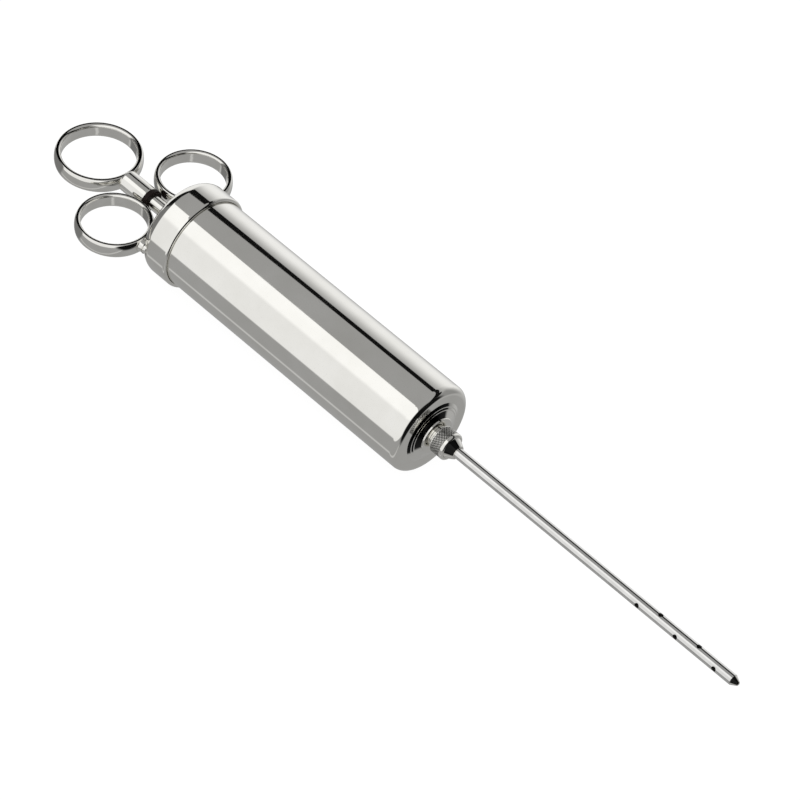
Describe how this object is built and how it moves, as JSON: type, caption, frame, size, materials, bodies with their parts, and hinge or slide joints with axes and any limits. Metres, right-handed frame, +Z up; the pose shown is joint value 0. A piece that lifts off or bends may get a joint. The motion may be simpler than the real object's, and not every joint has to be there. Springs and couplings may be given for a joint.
{
  "type": "meat injector",
  "caption": "Ring-handled meat injector: chromed barrel with plunger and screw cap, knurled coupling nut and long side-hole needle.",
  "frame": {"origin": "on the barrel axis, where the bare needle tube leaves its hub", "axes": "+X along the barrel axis towards the needle's point; +Z up, along the axes of the handle rings, which lie in the XY plane; +Y completes the right-handed frame"},
  "size_m": [0.3752, 0.0752, 0.0432],
  "materials": {
    "nickel_plate": "mirror-polished nickel plate on brass",
    "needle_steel": "polished stainless steel tube",
    "brass": "turned, unplated inside parts",
    "spring_steel": "zinc-grey lock washer",
    "seal_rubber": "moulded black nitrile",
    "fibre": "red vulcanised fibre washers"
  },
  "bodies": {
    "barrel": {"barrel_shell": "nickel_plate", "barrel_thread_ring": "nickel_plate", "nose_boss": "nickel_plate"},
    "cap_seal": {"cap_gasket": "fibre"},
    "cap": {"cap_shell": "nickel_plate", "finger_ring_left": "nickel_plate", "finger_ring_right": "nickel_plate", "finger_ring_lugs": "nickel_plate", "rod_guide_bush": "nickel_plate", "bush_nut": "brass"},
    "piston": {"piston_rear_plate": "brass", "rear_cup_seal": "seal_rubber", "seal_spacer": "brass", "front_cup_seal": "seal_rubber", "piston_front_plate": "brass"},
    "plunger": {"plunger_rod": "nickel_plate", "ring_ferrule": "nickel_plate", "thumb_ring": "nickel_plate", "bumper_washer": "fibre", "spring_washer": "spring_steel", "piston_nut": "brass"},
    "needle": {"needle_tube": "needle_steel", "needle_tip": "needle_steel", "needle_hub": "nickel_plate", "hub_washer": "fibre"},
    "coupling": {"coupling_nut": "nickel_plate"}
  },
  "joints": [
    {"name": "cap_travel", "type": "slide", "parent": "barrel", "child": "cap_seal", "axis": [-1, 0, 0], "range_m": [0, 0.009]},
    {"name": "cap_turn", "type": "hinge", "parent": "cap_seal", "child": "cap", "pos_m": [-0.1455, 0, 0], "axis": [-1, 0, 0], "range_deg": [0, 2160.5]},
    {"name": "plunger_slide", "type": "slide", "parent": "cap", "child": "piston", "axis": [-1, 0, 0], "range_m": [-0.002, 0.116]},
    {"name": "plunger_turn", "type": "hinge", "parent": "piston", "child": "plunger", "pos_m": [-0.1955, 0, 0], "axis": [1, 0, 0], "continuous": true},
    {"name": "needle_travel", "type": "slide", "parent": "barrel", "child": "needle", "axis": [1, 0, 0], "range_m": [0, 0.0025]},
    {"name": "nut_turn", "type": "hinge", "parent": "needle", "child": "coupling", "pos_m": [-0.005, 0, 0], "axis": [1, 0, 0], "range_deg": [0, 900.5]}
  ],
  "couplings": [
    {"joint": "cap_turn", "follows": "cap_travel", "rad_per_m": 4188.8},
    {"joint": "nut_turn", "follows": "needle_travel", "rad_per_m": 6283.2}
  ]
}
